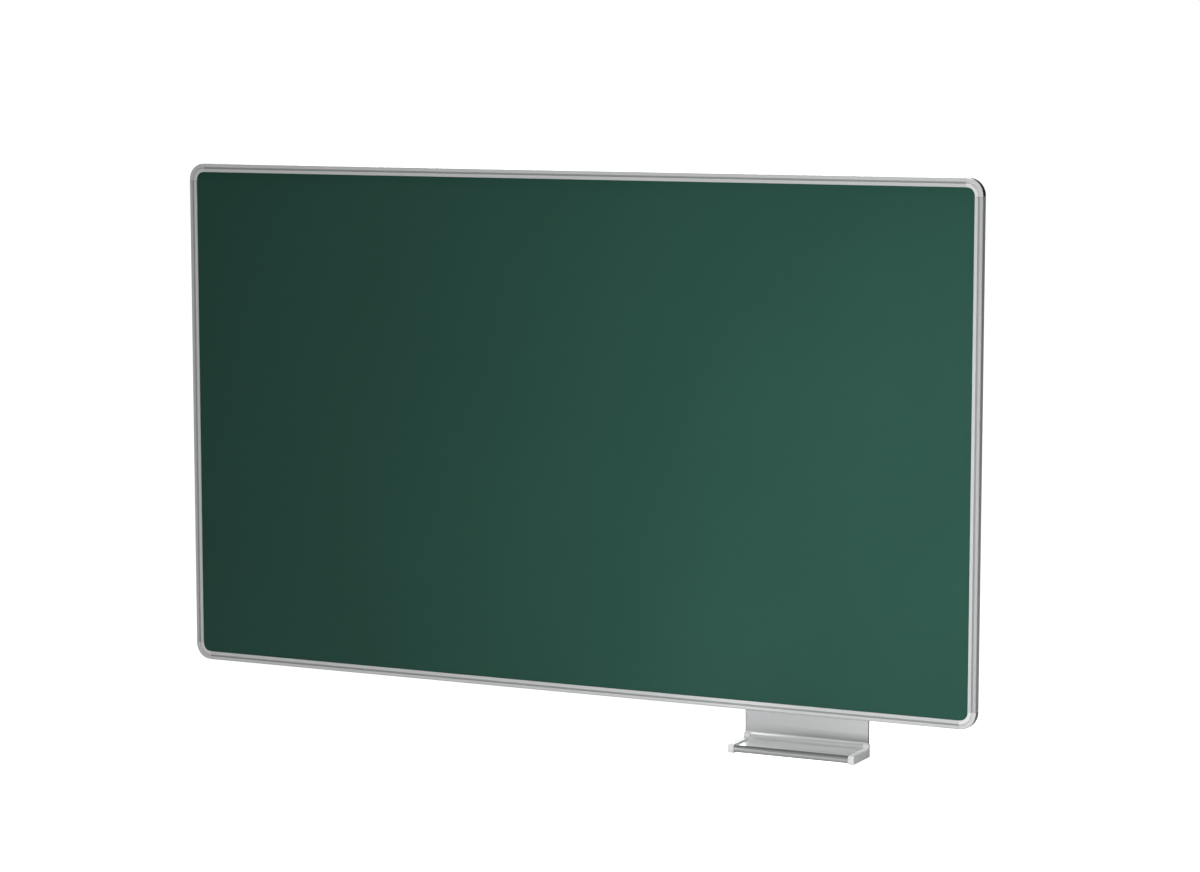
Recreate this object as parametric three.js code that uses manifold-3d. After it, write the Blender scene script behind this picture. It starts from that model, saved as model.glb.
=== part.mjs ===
// A wall-hung chalkboard: an enamelled steel writing panel in a frame of aluminium rails with
// moulded corners, hung on four steel wall brackets, with a chalk tray that slides along the
// bottom rail. Millimetres. +X is to the viewer's right, +Z is up, and the wall is the plane
// y = 0, so the writing face looks along -Y. The origin is on the wall, behind the centre of
// the board.
import * as THREE from "three";
import { mergeVertices } from "three/addons/utils/BufferGeometryUtils.js";
import Module from "manifold-3d";

const wasm = await Module();
wasm.setup();

// Board
const BOARD_WIDTH = 2000;
const BOARD_HEIGHT = 1200;
const WALL_GAP = 4; // from the back of the frame to the wall

// Writing panel: enamelled steel, core board and backing sheet, glued face to face
const ENAMEL_SHEET = 0.5;
const CORE_THICKNESS = 8;
const BACKING_SHEET = 0.3;
const PANEL_PLAY = 0.2; // on each face of the panel, in the rail's slot
const PANEL_EDGE_PLAY = 0.6; // from the panel's edge to the bottom of the slot

// Frame rail, seen in section. In from the board's edge, then back from the front face.
const RAIL_FACE = 20;
const RAIL_WALL = 1.6;
const LIP_THICKNESS = 2; // front lip over the writing face
const LIP_LAP = 8; // how far the lips reach over the panel
const REAR_LIP = 1.4;
const REAR_LIP_SETBACK = 2; // the rear lip is this much narrower than the front one
const GROOVE_WIDTH = 3.6;
const GROOVE_DEPTH = 0.9;
const GROOVE_ROUND = 0.8;
const FRONT_ROUND = 3.5; // outer front edge
const INNER_ROUND = 1.2; // edge next to the writing face
const REAR_ROUND = 0.8;
const CHANNEL_DEPTH = 2.4; // channel behind the rail, for the wall brackets and the tray's hook
const FLANGE_THICKNESS = 1.4;
const FLANGE_WIDTH = 9;

// Corner mouldings
const CORNER_RADIUS = 38; // outer
const CORNER_LEG = 2; // straight part at each end of the arc
const CORNER_WALL = 2.4;
const CORNER_END_WALL = 3;
const JOINT_GAP = 0.3; // seam between a corner and a rail
const TANG_LENGTH = 35;
const TANG_PLAY = 0.35;

// Self-tapping screws that hold the tangs, from the back
const SCREW_INSET = 18; // from the end of the rail
const SCREW_DIAMETER = 3.5;
const SCREW_TIP_DIAMETER = 1.8;
const SCREW_TIP_LENGTH = 3;
const SCREW_LENGTH = 10;
const SCREW_HEAD_DIAMETER = 7;
const SCREW_HEAD_RIM = 0.9;
const SCREW_HEAD_HEIGHT = 2.2;
const SCREW_RECESS_DEPTH = 1.2;
const SCREW_RECESS_SPAN = 4.2;
const SCREW_RECESS_WIDTH = 0.9;
const SCREW_PLAY = 0.35;

// Wall brackets, bent from steel strip
const BRACKET_WIDTH = 40;
const BRACKET_FOOT = 44; // from the top of the shelf to the end of the foot on the wall
const BRACKET_STEEL = 2; // the foot and the shelf; the leg is pressed thinner, to fit the channel
const BRACKET_INSET = 100; // from the end of the board to the middle of the bracket
const BRACKET_CORNER = 6;
const BRACKET_SLOT_WIDTH = 6;
const BRACKET_SLOT_LENGTH = 18;
const CHANNEL_SIDE_PLAY = 0.4; // each side of what stands in the channel
const HOOK_PLAY = 0.3; // from the flange's edge to what hangs on it, or the channel's floor

// Chalk tray: one aluminium extrusion with a moulded cap on each end
const TRAY_LENGTH = 302;
const TRAY_INSET = 404; // from the right end of the board to the middle of the tray
const TRAY_WALL = 2.5;
const TRAY_PLATE_PLAY = 0.4; // from the back of the frame to the tray's plate
const TRAY_FLOOR_DROP = 69; // from the bottom of the frame to the floor of the tray
const TRAY_FLOOR_FILLET = 10;
const TRAY_DEPTH = 96; // from the back of the plate to the front of the nose
const NOSE_RADIUS = 8.2;
const NOSE_RISE = 2; // top of the nose above the floor of the tray
const NOSE_SLOPE = 4.6; // from the top of the nose back to the floor
const NOSE_TAIL = 5; // flat part that ends the nose, under the tray
const HOOK_ROOF = 2.2; // thickness of the hook over the flange
const HOOK_FLOOR_PLAY = 2.4; // from the hook's edge to the floor of the rail's channel

// End caps of the tray
const CAP_WIDTH = 14;
const CAP_PLATE = 2;
const CAP_SKIN = 1.5; // over the nose
const CAP_PLAY = 0.3;
const CAP_TAB_TOP = 14; // top of the back tab above the floor of the tray
const CAP_TAB_SKIN = 2;
const CAP_TAB_ROUND = 2;
const CAP_BASE_SKIN = 1.9;
const CAP_PLUG_LENGTH = 22; // the plug sits in the hollow of the nose
const CAP_PLUG_PLAY = 0.9;

// Joined solids run this far into each other, and a cut runs this far past the face it opens.
const BITE = 0.5;
const OVERSHOOT = 1;

// Flats that stand for a curve
const CORNER_FLATS = 14; // round a corner of the frame
const FRONT_ROUND_FLATS = 6;
const SMALL_ROUND_FLATS = 3;
const PANEL_CORNER_FLATS = 8;
const BEND_FLATS = 8; // round a bend, fillet or slot end
const SCREW_FLATS = 14;

// What follows from the driving sizes
const PANEL_THICKNESS = ENAMEL_SHEET + CORE_THICKNESS + BACKING_SHEET;
const SLOT_FRONT = LIP_THICKNESS;
const SLOT_BACK = SLOT_FRONT + PANEL_THICKNESS + 2 * PANEL_PLAY;
const SLOT_BOTTOM = RAIL_FACE - LIP_LAP;
const CHANNEL_FRONT = SLOT_BACK + REAR_LIP;
const CHANNEL_BACK = CHANNEL_FRONT + CHANNEL_DEPTH;
const RAIL_DEPTH = CHANNEL_BACK + FLANGE_THICKNESS;
const FRONT_Y = -(WALL_GAP + RAIL_DEPTH);
const CORNER_REACH = CORNER_RADIUS + CORNER_LEG; // from the board's edge to the seam
const CHAMBER_FRONT = GROOVE_DEPTH + RAIL_WALL;
const CHAMBER_BACK = SLOT_BACK;
const CHAMBER_OUTER = RAIL_WALL;
const CHAMBER_INNER = SLOT_BOTTOM - RAIL_WALL;
const CHAMBER_MIDDLE = (CHAMBER_OUTER + CHAMBER_INNER) / 2;
const SCREW_HOLE_RADIUS = SCREW_DIAMETER / 2 + SCREW_PLAY;
const LEG_FRONT = FRONT_Y + CHANNEL_FRONT + CHANNEL_SIDE_PLAY; // of what stands in the channel
const LEG_BACK = FRONT_Y + CHANNEL_BACK - CHANNEL_SIDE_PLAY;

const ALUMINIUM = { color: 0xb9bcbe, roughness: 0.34, metalness: 0.9 };
const CORNER_PLASTIC = { color: 0xd9dcdb, roughness: 0.42, metalness: 0 };
const ENAMEL = { color: 0x2c5449, roughness: 0.45, metalness: 0 };
const CORE = { color: 0xb08f63, roughness: 0.9, metalness: 0 };
const GALVANISED = { color: 0xa9adb0, roughness: 0.5, metalness: 0.85 };
const ZINC = { color: 0xc4c8cb, roughness: 0.35, metalness: 0.9 };

// Solids and booleans

function solidOf(geometry) {
  const bare = geometry.index ? geometry.toNonIndexed() : geometry.clone();
  bare.deleteAttribute("normal");
  bare.deleteAttribute("uv");
  const merged = mergeVertices(bare, 1e-4);
  return new wasm.Manifold(
    new wasm.Mesh({
      numProp: 3,
      vertProperties: merged.attributes.position.array,
      triVerts: new Uint32Array(merged.index.array),
    }),
  );
}

function geometryOf(solid) {
  const mesh = solid.getMesh();
  const geometry = new THREE.BufferGeometry();
  geometry.setAttribute("position", new THREE.BufferAttribute(mesh.vertProperties, 3));
  geometry.setIndex(new THREE.BufferAttribute(mesh.triVerts, 1));
  geometry.computeVertexNormals();
  return geometry;
}

// Joins and cuts geometries: the first one, plus those in add, less those in cut.
function combine(first, { add = [], cut = [] }) {
  let solid = solidOf(first);
  for (const other of add) solid = solid.add(solidOf(other));
  for (const other of cut) solid = solid.subtract(solidOf(other));
  return geometryOf(solid);
}

function piece(name, geometry, finish) {
  const mesh = new THREE.Mesh(geometry, new THREE.MeshStandardMaterial(finish));
  mesh.name = name;
  return mesh;
}

function boxBetween(low, high) {
  const size = high.map((value, axis) => value - low[axis]);
  const centre = high.map((value, axis) => (value + low[axis]) / 2);
  return new THREE.BoxGeometry(...size).translate(...centre);
}

// A cylinder along Y, from one depth to another.
function rodAlongY(radius, x, z, fromY, toY) {
  return new THREE.CylinderGeometry(radius, radius, toY - fromY, SCREW_FLATS).translate(
    x,
    (fromY + toY) / 2,
    z,
  );
}

// A shape drawn in the YZ plane, run along X about x = 0.
function prismAlongX(shape, length) {
  const prism = new THREE.ExtrudeGeometry(shape, {
    depth: length,
    bevelEnabled: false,
    curveSegments: BEND_FLATS,
  });
  prism.translate(0, 0, -length / 2);
  const turn = new THREE.Matrix4().makeBasis(
    new THREE.Vector3(0, 1, 0),
    new THREE.Vector3(0, 0, 1),
    new THREE.Vector3(1, 0, 0),
  );
  return prism.applyMatrix4(turn);
}

// Runs a closed section along stations. A station is a point on the board's edge line and the
// direction that leads inwards from there. The section's points are (in from the edge, back
// from the front face).
function sweep(section, stations) {
  const flat = section.map(([inward, back]) => new THREE.Vector2(inward, back));
  if (THREE.ShapeUtils.isClockWise(flat)) flat.reverse();
  const count = flat.length;
  const position = [];
  for (const { x, z, inX, inZ } of stations)
    for (const { x: inward, y: back } of flat)
      position.push(x + inX * inward, FRONT_Y + back, z + inZ * inward);
  const index = [];
  for (let s = 0; s + 1 < stations.length; s += 1)
    for (let i = 0; i < count; i += 1) {
      const a = s * count + i;
      const b = s * count + ((i + 1) % count);
      index.push(a, b, b + count, a, b + count, a + count);
    }
  const last = (stations.length - 1) * count;
  for (const [i, j, k] of THREE.ShapeUtils.triangulateShape(flat, [])) {
    index.push(i, k, j);
    index.push(last + i, last + j, last + k);
  }
  const geometry = new THREE.BufferGeometry();
  geometry.setAttribute("position", new THREE.Float32BufferAttribute(position, 3));
  geometry.setIndex(index);
  return geometry;
}

// Writing panel

function panelLayer(frontDepth, thickness) {
  const inset = SLOT_BOTTOM + PANEL_EDGE_PLAY;
  const halfWidth = BOARD_WIDTH / 2 - inset;
  const halfHeight = BOARD_HEIGHT / 2 - inset;
  const radius = CORNER_RADIUS - inset;
  const outline = new THREE.Shape();
  outline.moveTo(-halfWidth + radius, -halfHeight);
  outline.lineTo(halfWidth - radius, -halfHeight);
  outline.absarc(halfWidth - radius, -halfHeight + radius, radius, -Math.PI / 2, 0);
  outline.lineTo(halfWidth, halfHeight - radius);
  outline.absarc(halfWidth - radius, halfHeight - radius, radius, 0, Math.PI / 2);
  outline.lineTo(-halfWidth + radius, halfHeight);
  outline.absarc(-halfWidth + radius, halfHeight - radius, radius, Math.PI / 2, Math.PI);
  outline.lineTo(-halfWidth, -halfHeight + radius);
  outline.absarc(-halfWidth + radius, -halfHeight + radius, radius, Math.PI, 1.5 * Math.PI);
  const layer = new THREE.ExtrudeGeometry(outline, {
    depth: thickness,
    bevelEnabled: false,
    curveSegments: PANEL_CORNER_FLATS,
  });
  layer.rotateX(Math.PI / 2); // the drawing's up becomes +Z, and its depth becomes -Y
  layer.translate(0, FRONT_Y + frontDepth + thickness, 0);
  return layer;
}

function writingPanel() {
  const panel = new THREE.Group();
  const sheetFront = SLOT_FRONT + PANEL_PLAY;
  const coreFront = sheetFront + ENAMEL_SHEET;
  const backingFront = coreFront + CORE_THICKNESS;
  panel.add(
    piece("writing_sheet", panelLayer(sheetFront, ENAMEL_SHEET), ENAMEL),
    piece("core_board", panelLayer(coreFront, CORE_THICKNESS), CORE),
    piece("backing_sheet", panelLayer(backingFront, BACKING_SHEET), GALVANISED),
  );
  return panel;
}

// Frame

function arcPoints(centreIn, centreBack, radius, fromTurn, toTurn, steps) {
  return Array.from({ length: steps + 1 }, (_, i) => {
    const turn = fromTurn + ((toTurn - fromTurn) * i) / steps;
    const angle = turn * 2 * Math.PI;
    return [centreIn + radius * Math.cos(angle), centreBack + radius * Math.sin(angle)];
  });
}

// The front of the rail and of the corner: a round outer edge, two bands and the groove
// between them, and the rounded lip beside the writing face.
function frontOutline() {
  const grooveOuter = (RAIL_FACE - GROOVE_WIDTH) / 2;
  const grooveInner = (RAIL_FACE + GROOVE_WIDTH) / 2;
  const [round, flats] = [GROOVE_ROUND, SMALL_ROUND_FLATS];
  return [
    ...arcPoints(FRONT_ROUND, FRONT_ROUND, FRONT_ROUND, 0.5, 0.75, FRONT_ROUND_FLATS),
    ...arcPoints(grooveOuter - round, round, round, 0.75, 1, flats),
    [grooveOuter, GROOVE_DEPTH],
    [grooveInner, GROOVE_DEPTH],
    ...arcPoints(grooveInner + round, round, round, 0.5, 0.75, flats),
    ...arcPoints(RAIL_FACE - INNER_ROUND, INNER_ROUND, INNER_ROUND, 0.75, 1, flats),
    [RAIL_FACE, SLOT_FRONT],
    [SLOT_BOTTOM, SLOT_FRONT],
    [SLOT_BOTTOM, SLOT_BACK],
    [RAIL_FACE - REAR_LIP_SETBACK, SLOT_BACK],
    [RAIL_FACE - REAR_LIP_SETBACK, CHANNEL_FRONT],
  ];
}

// The outer edge beside the wall
function rearRound() {
  const depth = RAIL_DEPTH - REAR_ROUND;
  return arcPoints(REAR_ROUND, depth, REAR_ROUND, 0.25, 0.5, SMALL_ROUND_FLATS);
}

function railSection() {
  return [
    ...frontOutline(),
    [RAIL_WALL, CHANNEL_FRONT],
    [RAIL_WALL, CHANNEL_BACK],
    [FLANGE_WIDTH, CHANNEL_BACK],
    [FLANGE_WIDTH, RAIL_DEPTH],
    ...rearRound(),
  ];
}

// The corner's section is open at the back, as a moulding is.
function cornerSection() {
  return [
    ...frontOutline(),
    [SLOT_BOTTOM - CORNER_WALL, CHANNEL_FRONT],
    [SLOT_BOTTOM - CORNER_WALL, CHAMBER_FRONT],
    [CORNER_WALL, CHAMBER_FRONT],
    [CORNER_WALL, RAIL_DEPTH],
    ...rearRound(),
  ];
}

// A rail lies along X with its outer edge on z = 0 and its inner side below, and is turned
// and moved to its side of the board.
function rail(name, boardSide, outerDistance, turn) {
  const half = boardSide / 2 - CORNER_REACH - JOINT_GAP;
  const body = sweep(railSection(), [
    { x: -half, z: 0, inX: 0, inZ: -1 },
    { x: half, z: 0, inX: 0, inZ: -1 },
  ]);
  const chamber = boxBetween(
    [-half - OVERSHOOT, FRONT_Y + CHAMBER_FRONT, -CHAMBER_INNER],
    [half + OVERSHOOT, FRONT_Y + CHAMBER_BACK, -CHAMBER_OUTER],
  );
  const screwHoles = [-1, 1].map((end) =>
    rodAlongY(
      SCREW_HOLE_RADIUS,
      end * (half - SCREW_INSET),
      -CHAMBER_MIDDLE,
      FRONT_Y + CHAMBER_BACK - OVERSHOOT,
      FRONT_Y + RAIL_DEPTH + OVERSHOOT,
    ),
  );
  const mesh = piece(name, combine(body, { cut: [chamber, ...screwHoles] }), ALUMINIUM);
  mesh.position.set(outerDistance * Math.sin(turn), 0, outerDistance * Math.cos(turn));
  mesh.rotation.y = turn;
  return mesh;
}

// Where a corner's screws are, from the centre of its arc
const SCREW_ALONG = CORNER_LEG + JOINT_GAP + SCREW_INSET;
const SCREW_ACROSS = CORNER_RADIUS - CHAMBER_MIDDLE;

// The top right corner, about the centre of its arc. The other three are the same moulding,
// turned a quarter each.
function cornerGeometry() {
  const stations = [{ x: -CORNER_LEG, z: CORNER_RADIUS, inX: 0, inZ: -1 }];
  for (let i = 0; i <= CORNER_FLATS; i += 1) {
    const angle = (Math.PI / 2) * (1 - i / CORNER_FLATS);
    const [outX, outZ] = [Math.cos(angle), Math.sin(angle)];
    stations.push({ x: CORNER_RADIUS * outX, z: CORNER_RADIUS * outZ, inX: -outX, inZ: -outZ });
  }
  stations.push({ x: CORNER_RADIUS, z: -CORNER_LEG, inX: -1, inZ: 0 });
  const [front, back] = [FRONT_Y + CHAMBER_FRONT, FRONT_Y + CHAMBER_BACK];
  const [wallFront, wallBack] = [front - BITE, back + REAR_LIP];
  const wallOuter = CORNER_RADIUS - CORNER_WALL + BITE;
  const wallInner = CORNER_RADIUS - SLOT_BOTTOM + CORNER_WALL - BITE;
  const wallEnd = CORNER_END_WALL - CORNER_LEG;
  const endWalls = [
    boxBetween([-CORNER_LEG, wallFront, wallInner], [wallEnd, wallBack, wallOuter]),
    boxBetween([wallInner, wallFront, -CORNER_LEG], [wallOuter, wallBack, wallEnd]),
  ];
  const [tangFront, tangBack] = [front + TANG_PLAY, back - TANG_PLAY];
  const tangOuter = CORNER_RADIUS - CHAMBER_OUTER - TANG_PLAY;
  const tangInner = CORNER_RADIUS - CHAMBER_INNER + TANG_PLAY;
  const tangEnd = CORNER_LEG + JOINT_GAP + TANG_LENGTH;
  const tangs = [
    boxBetween([-tangEnd, tangFront, tangInner], [wallEnd - BITE, tangBack, tangOuter]),
    boxBetween([tangInner, tangFront, -tangEnd], [tangOuter, tangBack, wallEnd - BITE]),
  ];
  const [holeFront, holeBack] = [front - OVERSHOOT, back + OVERSHOOT];
  const holes = [
    rodAlongY(SCREW_HOLE_RADIUS, -SCREW_ALONG, SCREW_ACROSS, holeFront, holeBack),
    rodAlongY(SCREW_HOLE_RADIUS, SCREW_ACROSS, -SCREW_ALONG, holeFront, holeBack),
  ];
  return combine(sweep(cornerSection(), stations), {
    add: [...endWalls, ...tangs],
    cut: holes,
  });
}

// A pan head screw with a cross recess, pointing along -Y, with its head from y = 0 back.
function screwGeometry() {
  const [shank, head] = [SCREW_DIAMETER / 2, SCREW_HEAD_DIAMETER / 2];
  const dome = SCREW_HEAD_HEIGHT - SCREW_HEAD_RIM;
  const domeSteps = 3;
  const profile = [
    [0, -SCREW_LENGTH],
    [SCREW_TIP_DIAMETER / 2, -SCREW_LENGTH],
    [shank, -SCREW_LENGTH + SCREW_TIP_LENGTH],
    [shank, 0],
    [head, 0],
  ];
  for (let i = 0; i < domeSteps; i += 1) {
    const angle = (Math.PI / 2) * (i / domeSteps);
    profile.push([head * Math.cos(angle), SCREW_HEAD_RIM + dome * Math.sin(angle)]);
  }
  profile.push([0, SCREW_HEAD_HEIGHT]);
  const points = profile.map(([radius, along]) => new THREE.Vector2(radius, along));
  const [arm, side] = [SCREW_RECESS_SPAN / 2, SCREW_RECESS_WIDTH / 2];
  const floor = SCREW_HEAD_HEIGHT - SCREW_RECESS_DEPTH;
  const above = SCREW_HEAD_HEIGHT + OVERSHOOT;
  return combine(new THREE.LatheGeometry(points, SCREW_FLATS), {
    cut: [
      boxBetween([-arm, floor, -side], [arm, above, side]),
      boxBetween([-side, floor, -arm], [side, above, arm]),
    ],
  });
}

// Each corner is turned about Y from the top right one: a quarter turn leads to the bottom
// right, and so on round the board.
function frame() {
  const group = new THREE.Group();
  const [halfWidth, halfHeight] = [BOARD_WIDTH / 2, BOARD_HEIGHT / 2];
  group.add(
    rail("top_rail", BOARD_WIDTH, halfHeight, 0),
    rail("right_rail", BOARD_HEIGHT, halfWidth, Math.PI / 2),
    rail("bottom_rail", BOARD_WIDTH, halfHeight, Math.PI),
    rail("left_rail", BOARD_HEIGHT, halfWidth, -Math.PI / 2),
  );
  const corner = cornerGeometry();
  const screw = screwGeometry();
  const places = [
    { name: "top_right", right: 1, up: 1, turn: 0 },
    { name: "bottom_right", right: 1, up: -1, turn: Math.PI / 2 },
    { name: "bottom_left", right: -1, up: -1, turn: Math.PI },
    { name: "top_left", right: -1, up: 1, turn: -Math.PI / 2 },
  ];
  for (const { name, right, up, turn } of places) {
    const place = new THREE.Group();
    place.position.set(
      right * (halfWidth - CORNER_RADIUS),
      0,
      up * (halfHeight - CORNER_RADIUS),
    );
    place.rotation.y = turn;
    const first = piece(`corner_screw_${name}_1`, screw, ZINC);
    first.position.set(-SCREW_ALONG, -WALL_GAP, SCREW_ACROSS);
    const second = piece(`corner_screw_${name}_2`, screw, ZINC);
    second.position.set(SCREW_ACROSS, -WALL_GAP, -SCREW_ALONG);
    place.add(piece(`corner_${name}`, corner, CORNER_PLASTIC), first, second);
    group.add(place);
  }
  return group;
}

// Wall brackets

// The top bracket: its foot lies on the wall, and its leg stands up in the top rail's channel.
// It has z = 0 at the top of the frame.
const BRACKET_SHELF = -(FLANGE_WIDTH + HOOK_PLAY); // top of the shelf, under the flange
const BRACKET_END = BRACKET_SHELF - BRACKET_FOOT;

function bracketSection() {
  const legTop = -(RAIL_WALL + HOOK_PLAY);
  const section = new THREE.Shape();
  section.moveTo(LEG_FRONT, BRACKET_SHELF - BRACKET_STEEL);
  section.lineTo(-BRACKET_STEEL, BRACKET_SHELF - BRACKET_STEEL);
  section.lineTo(-BRACKET_STEEL, BRACKET_END);
  section.lineTo(0, BRACKET_END);
  section.lineTo(0, BRACKET_SHELF);
  section.lineTo(LEG_BACK, BRACKET_SHELF);
  section.lineTo(LEG_BACK, legTop);
  section.lineTo(LEG_FRONT, legTop);
  return section;
}

// The bracket seen from the front, with its round lower corners and the slot for a wall screw
function bracketFront() {
  const half = BRACKET_WIDTH / 2;
  const [round, roundZ] = [half - BRACKET_CORNER, BRACKET_END + BRACKET_CORNER];
  const outline = new THREE.Shape();
  outline.moveTo(-round, BRACKET_END);
  outline.lineTo(round, BRACKET_END);
  outline.absarc(round, roundZ, BRACKET_CORNER, -Math.PI / 2, 0);
  outline.lineTo(half, 0);
  outline.lineTo(-half, 0);
  outline.lineTo(-half, roundZ);
  outline.absarc(-round, roundZ, BRACKET_CORNER, Math.PI, 1.5 * Math.PI);
  const slotHalf = (BRACKET_SLOT_LENGTH - BRACKET_SLOT_WIDTH) / 2;
  const slotMiddle = (BRACKET_SHELF - BRACKET_STEEL + BRACKET_END) / 2;
  const slot = new THREE.Path();
  slot.absarc(0, slotMiddle + slotHalf, BRACKET_SLOT_WIDTH / 2, 0, Math.PI);
  slot.absarc(0, slotMiddle - slotHalf, BRACKET_SLOT_WIDTH / 2, Math.PI, 2 * Math.PI);
  outline.holes.push(slot);
  return outline;
}

function bracketGeometry() {
  const depth = RAIL_DEPTH + WALL_GAP;
  const punched = new THREE.ExtrudeGeometry(bracketFront(), {
    depth: 2 * depth,
    bevelEnabled: false,
    curveSegments: BEND_FLATS,
  });
  punched.rotateX(Math.PI / 2);
  punched.translate(0, depth, 0);
  const strip = prismAlongX(bracketSection(), BRACKET_WIDTH + 2 * OVERSHOOT);
  return geometryOf(solidOf(strip).intersect(solidOf(punched)));
}

function wallBrackets() {
  const group = new THREE.Group();
  const bracket = bracketGeometry();
  for (const [level, up] of [
    ["top", 1],
    ["bottom", -1],
  ])
    for (const [side, right] of [
      ["left", -1],
      ["right", 1],
    ]) {
      const mesh = piece(`wall_bracket_${level}_${side}`, bracket, ZINC);
      mesh.position.set(right * (BOARD_WIDTH / 2 - BRACKET_INSET), 0, (up * BOARD_HEIGHT) / 2);
      if (up < 0) mesh.rotation.y = Math.PI; // the same bracket, hooked downwards
      group.add(mesh);
    }
  return group;
}

// Chalk tray. Its own frame has z = 0 at the floor of the tray and y = 0 on the wall.

const PLATE_FRONT = TRAY_PLATE_PLAY - WALL_GAP;
const PLATE_BACK = PLATE_FRONT + TRAY_WALL;
const NOSE_Y = PLATE_BACK - TRAY_DEPTH + NOSE_RADIUS;
const NOSE_Z = NOSE_RISE - NOSE_RADIUS;
const PROFILE_LENGTH = TRAY_LENGTH - 2 * (CAP_PLATE + CAP_PLAY);

function traySection() {
  const roofBottom = TRAY_FLOOR_DROP + FLANGE_WIDTH + HOOK_PLAY;
  const roofTop = roofBottom + HOOK_ROOF;
  const hookEnd = TRAY_FLOOR_DROP + RAIL_WALL + HOOK_FLOOR_PLAY;
  const slopeEnd = NOSE_Y + NOSE_SLOPE;
  const hollow = NOSE_RADIUS - TRAY_WALL;
  const [bend, outerBend] = [TRAY_FLOOR_FILLET, TRAY_FLOOR_FILLET + TRAY_WALL];
  const section = new THREE.Shape();
  section.moveTo(PLATE_FRONT, roofBottom);
  section.lineTo(PLATE_FRONT, bend);
  section.absarc(PLATE_FRONT - bend, bend, bend, 0, -Math.PI / 2, true);
  section.lineTo(slopeEnd, 0);
  section.quadraticCurveTo(NOSE_Y + NOSE_SLOPE / 2, NOSE_RISE, NOSE_Y, NOSE_RISE);
  section.absarc(NOSE_Y, NOSE_Z, NOSE_RADIUS, Math.PI / 2, 1.5 * Math.PI);
  section.lineTo(NOSE_Y + NOSE_TAIL, NOSE_Z - NOSE_RADIUS);
  section.lineTo(NOSE_Y + NOSE_TAIL, NOSE_Z - hollow);
  section.lineTo(NOSE_Y, NOSE_Z - hollow);
  section.absarc(NOSE_Y, NOSE_Z, hollow, 1.5 * Math.PI, Math.PI / 2, true);
  section.lineTo(slopeEnd, -TRAY_WALL);
  section.lineTo(PLATE_FRONT - bend, -TRAY_WALL);
  section.absarc(PLATE_FRONT - bend, bend, outerBend, -Math.PI / 2, 0);
  section.lineTo(PLATE_BACK, roofTop);
  section.lineTo(LEG_FRONT, roofTop);
  section.lineTo(LEG_FRONT, hookEnd);
  section.lineTo(LEG_BACK, hookEnd);
  section.lineTo(LEG_BACK, roofBottom);
  return section;
}

const NOSE_CAP_RADIUS = NOSE_RADIUS + CAP_SKIN + CAP_PLAY;
const CAP_ARM_TOP = NOSE_Z + NOSE_CAP_RADIUS;
const CAP_BASE = NOSE_Z - NOSE_CAP_RADIUS;

function capOutline() {
  const tabFront = PLATE_FRONT - CAP_PLAY - CAP_TAB_SKIN;
  const round = CAP_TAB_ROUND;
  const outline = new THREE.Shape();
  outline.moveTo(PLATE_BACK, CAP_BASE);
  outline.lineTo(PLATE_BACK, CAP_TAB_TOP);
  outline.lineTo(tabFront + round, CAP_TAB_TOP);
  outline.absarc(tabFront + round, CAP_TAB_TOP - round, round, Math.PI / 2, Math.PI);
  outline.lineTo(tabFront, CAP_ARM_TOP + round);
  outline.absarc(tabFront - round, CAP_ARM_TOP + round, round, 0, -Math.PI / 2, true);
  outline.lineTo(NOSE_Y, CAP_ARM_TOP);
  outline.absarc(NOSE_Y, NOSE_Z, NOSE_CAP_RADIUS, Math.PI / 2, 1.5 * Math.PI);
  return outline;
}

// The room inside the cap: the end of the extrusion with its play, and the hollow under it.
function capPocket() {
  const bend = TRAY_FLOOR_FILLET;
  const pocket = new THREE.Shape();
  const [front, back] = [PLATE_FRONT - CAP_PLAY, PLATE_BACK + CAP_SKIN];
  const noseRoom = NOSE_RADIUS + CAP_PLAY;
  pocket.moveTo(back, CAP_TAB_TOP + OVERSHOOT);
  pocket.lineTo(front, CAP_TAB_TOP + OVERSHOOT);
  pocket.lineTo(front, bend);
  pocket.absarc(PLATE_FRONT - bend, bend, bend - CAP_PLAY, 0, -Math.PI / 2, true);
  pocket.lineTo(NOSE_Y + NOSE_SLOPE + CAP_PLAY, CAP_PLAY);
  pocket.lineTo(NOSE_Y + NOSE_SLOPE / 2, NOSE_RISE + CAP_PLAY);
  pocket.lineTo(NOSE_Y, NOSE_RISE + CAP_PLAY);
  pocket.absarc(NOSE_Y, NOSE_Z, noseRoom, Math.PI / 2, 1.5 * Math.PI);
  pocket.lineTo(PLATE_BACK - CAP_BASE_SKIN, NOSE_Z - noseRoom);
  pocket.lineTo(PLATE_BACK - CAP_BASE_SKIN, -TRAY_WALL - CAP_PLAY);
  pocket.lineTo(back, -TRAY_WALL - CAP_PLAY);
  return pocket;
}

// The left cap, about the tray's centre.
function capGeometry() {
  const end = -TRAY_LENGTH / 2;
  const body = prismAlongX(capOutline(), CAP_WIDTH).translate(end + CAP_WIDTH / 2, 0, 0);
  const pocketLength = CAP_WIDTH - CAP_PLATE + OVERSHOOT;
  const pocket = prismAlongX(capPocket(), pocketLength).translate(
    end + CAP_PLATE + pocketLength / 2,
    0,
    0,
  );
  const plugRadius = NOSE_RADIUS - TRAY_WALL - CAP_PLUG_PLAY;
  const plug = new THREE.CylinderGeometry(plugRadius, plugRadius, CAP_PLUG_LENGTH, SCREW_FLATS);
  plug.rotateZ(Math.PI / 2);
  plug.translate(end + CAP_PLATE / 2 + CAP_PLUG_LENGTH / 2, NOSE_Y, NOSE_Z);
  return geometryOf(solidOf(body).subtract(solidOf(pocket)).add(solidOf(plug)));
}

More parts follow.
